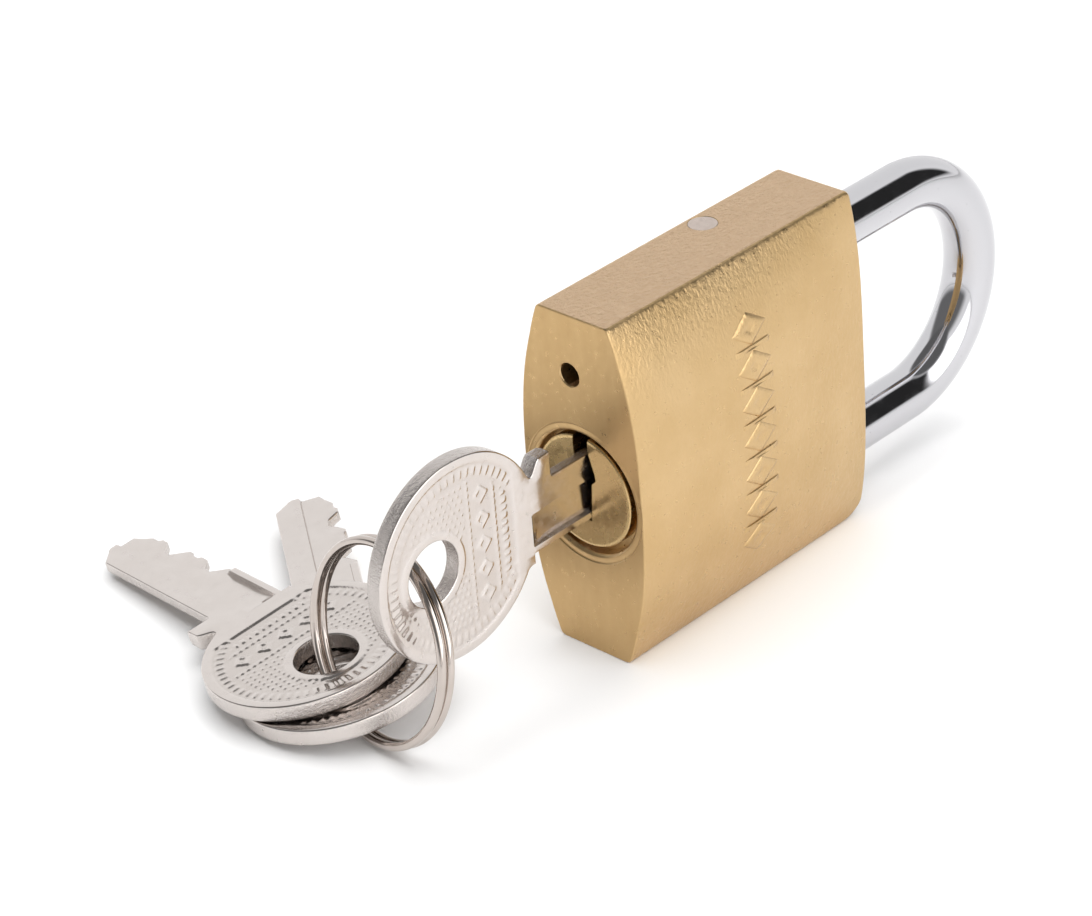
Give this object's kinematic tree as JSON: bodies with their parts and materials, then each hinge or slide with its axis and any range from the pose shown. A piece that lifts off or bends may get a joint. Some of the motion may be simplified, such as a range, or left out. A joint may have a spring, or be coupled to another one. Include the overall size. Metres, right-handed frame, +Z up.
{
  "type": "padlock",
  "caption": "Solid brass pin-tumbler padlock with a chromed shackle, turned key, split ring and spare keys, standing on its narrow side.",
  "frame": {"origin": "middle of the narrow side that the lock stands on", "axes": "+Z up across the case's width, +X from the keyway end to the shackle, broad faces along -Y and +Y"},
  "size_m": [0.1029, 0.0638, 0.04],
  "materials": {
    "brass_case": "satin, lacquered",
    "brass_plug": "turned",
    "chrome": "polished",
    "key_nickel": "nickel-plated, tumbled",
    "ring_nickel": "bright nickel plate",
    "spring_steel": "drawn wire",
    "steel": "satin"
  },
  "bodies": {
    "lock_case": {"lock_body": "brass_case", "plug_retaining_pin": "steel", "shackle_retaining_pin": "steel", "latch_bore_plug": "brass_plug", "shackle_spring": "spring_steel", "latch_spring": "spring_steel", "driver_pin_1": "brass_plug", "driver_pin_2": "brass_plug", "driver_pin_3": "brass_plug", "driver_pin_4": "brass_plug", "driver_spring_1": "spring_steel", "driver_spring_2": "spring_steel", "driver_spring_3": "spring_steel", "driver_spring_4": "spring_steel", "chamber_plug_1": "brass_plug", "chamber_plug_2": "brass_plug", "chamber_plug_3": "brass_plug", "chamber_plug_4": "brass_plug"},
    "plug_and_key": {"plug": "brass_plug", "plug_cam": "steel", "working_key": "key_nickel", "key_pin_1": "brass_plug", "key_pin_2": "brass_plug", "key_pin_3": "brass_plug", "key_pin_4": "brass_plug"},
    "latch": {"latch_bolt": "steel"},
    "shackle": {"shackle": "chrome"},
    "ring": {"key_ring": "ring_nickel"},
    "spare_key_upper": {"spare_key_1": "key_nickel"},
    "spare_key_lower": {"spare_key_2": "key_nickel"}
  },
  "joints": [
    {"name": "key_turn", "type": "hinge", "parent": "lock_case", "child": "plug_and_key", "pos_m": [0, 0, 0.0195], "axis": [1, 0, 0], "range_deg": [0, 90]},
    {"name": "latch_slide", "type": "slide", "parent": "lock_case", "child": "latch", "axis": [0, 0, 1], "range_m": [0, 0.00369], "deforming": ["latch_spring"]},
    {"name": "shackle_lift", "type": "slide", "parent": "lock_case", "child": "shackle", "axis": [1, 0, 0], "range_m": [0, 0.01221]},
    {"name": "ring_swing", "type": "hinge", "parent": "plug_and_key", "child": "ring", "pos_m": [-0.04209, 0, 0.0212], "axis": [0, 1, 0], "range_deg": [0, 70]},
    {"name": "spare_key_upper_swing", "type": "hinge", "parent": "ring", "child": "spare_key_upper", "pos_m": [-0.0433, 0.0154, 0.00506], "axis": [-0.12, 0.1, 0.9877], "range_deg": [-25, 30]},
    {"name": "spare_key_lower_swing", "type": "hinge", "parent": "ring", "child": "spare_key_lower", "pos_m": [-0.0444, 0.01211, 0.00313], "axis": [-0.12, 0.1, 0.9877], "range_deg": [-20, 25]}
  ],
  "couplings": [
    {"joint": "latch_slide", "follows": "key_turn", "m_per_rad": 0.0023408},
    {"joint": "shackle_lift", "follows": "key_turn", "m_per_rad": 0.0077668}
  ]
}
